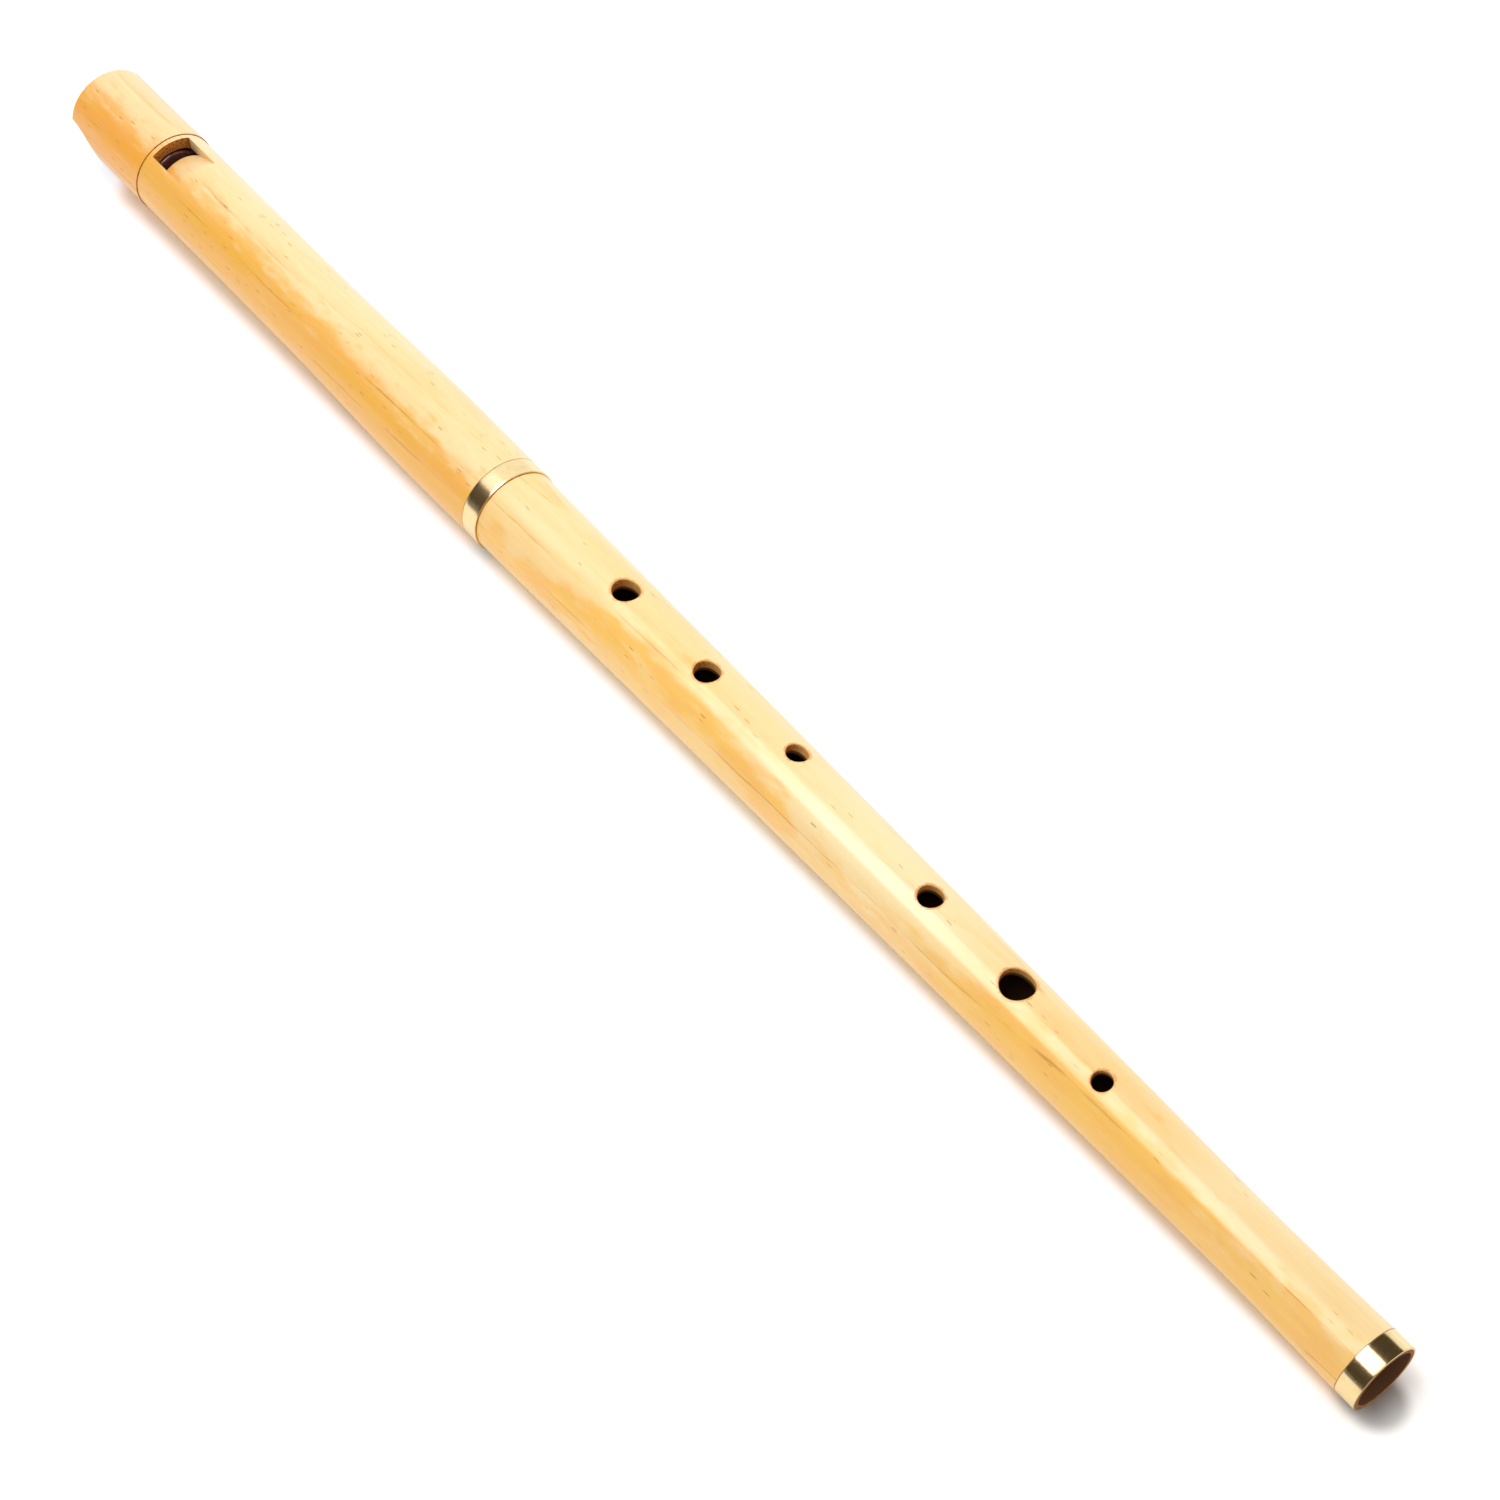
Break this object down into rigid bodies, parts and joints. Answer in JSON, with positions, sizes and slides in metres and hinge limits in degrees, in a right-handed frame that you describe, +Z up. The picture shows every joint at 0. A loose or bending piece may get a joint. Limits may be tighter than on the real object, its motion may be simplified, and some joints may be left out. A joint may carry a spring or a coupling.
{
  "type": "low whistle",
  "caption": "Low whistle in pale wood with a scooped fipple mouthpiece, a brass-ringed tuning joint and a tapered body with finger holes.",
  "frame": {"origin": "on the surface that the whistle lies on, below the middle of its length", "axes": "+X along the whistle from the mouthpiece to the foot, +Z up, with the row of finger holes on top; the axis dips 0.65 degrees towards the foot, as the whistle lies on its barrel and its foot ring"},
  "size_m": [0.5851, 0.0296, 0.0316],
  "materials": {
    "pale_wood": "satin lacquered boxwood, pale honey yellow",
    "dark_block_wood": "polished dark purple-brown hardwood",
    "brass": "polished",
    "cork": "natural cork, greased"
  },
  "bodies": {
    "body": {"body_tube": "pale_wood", "foot_ferrule": "brass"},
    "cork": {"tenon_cork": "cork"},
    "head": {"head_tube": "pale_wood", "mouthpiece_cap": "pale_wood", "fipple_block": "dark_block_wood", "socket_ferrule": "brass"}
  },
  "joints": [
    {"name": "head_turn", "type": "hinge", "parent": "body", "child": "cork", "pos_m": [-0.0618, 0, 0.01442], "axis": [0.9999, 0, -0.0114], "continuous": true},
    {"name": "tuning_slide", "type": "slide", "parent": "cork", "child": "head", "axis": [-0.9999, 0, 0.0114], "range_m": [0, 0.02]}
  ]
}
